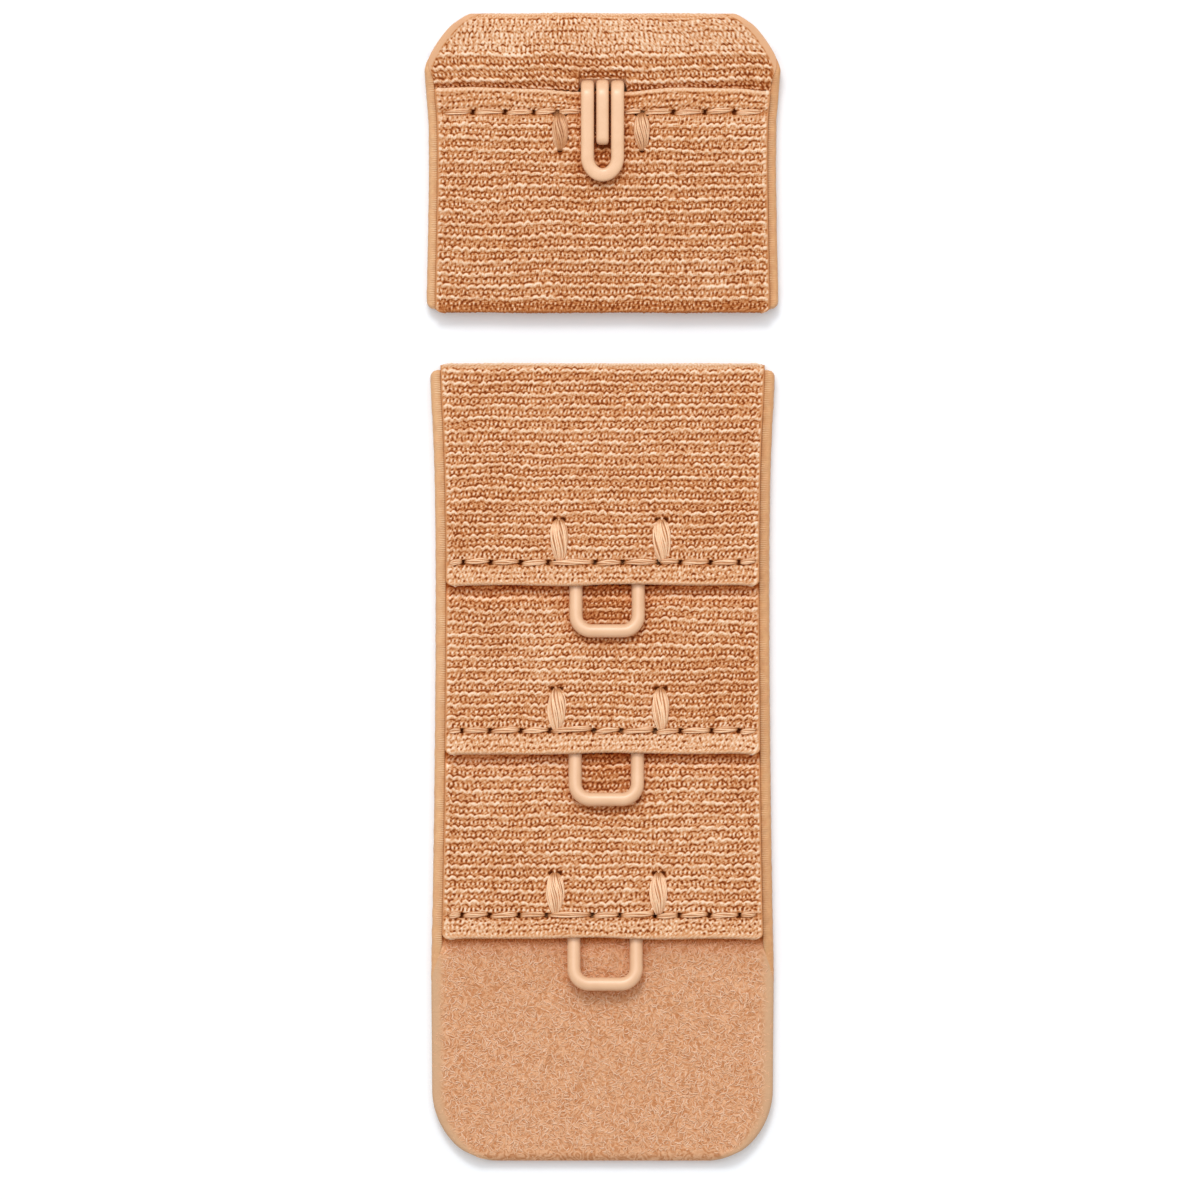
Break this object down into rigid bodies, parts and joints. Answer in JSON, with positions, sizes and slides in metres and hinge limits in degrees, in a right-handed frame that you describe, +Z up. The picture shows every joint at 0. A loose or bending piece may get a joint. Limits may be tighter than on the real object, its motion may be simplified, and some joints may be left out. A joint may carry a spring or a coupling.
{
  "type": "hook and eye clasp",
  "caption": "Bra-style hook and eye closure in two soft tape halves, lying apart: a coated wire hook on one, rows of coated wire eyes on the other.",
  "frame": {"origin": "on the surface that the halves lie on, in the middle of the whole length and width", "axes": "+X across the tapes to the right as seen from the front, +Y along the tapes from the eye half to the hook half, +Z up out of the front faces"},
  "size_m": [0.0256, 0.0826, 0.0032],
  "materials": {
    "knit": "matte knit",
    "plush": "brushed pile",
    "sealed_edge": "ribbed, slightly glossy",
    "coated_wire": "satin nylon coating over steel wire"
  },
  "bodies": {
    "root": {"hook_guard": "knit", "hook_panel": "knit", "hook": "coated_wire", "hook_edge_left": "sealed_edge", "hook_edge_right": "sealed_edge", "eye_backing": "plush", "eye_panel_1": "knit", "eye_panel_2": "knit", "eye_panel_3": "knit", "eye_1": "coated_wire", "eye_2": "coated_wire", "eye_3": "coated_wire", "eye_edge_left": "sealed_edge", "eye_edge_right": "sealed_edge"}
  },
  "joints": []
}
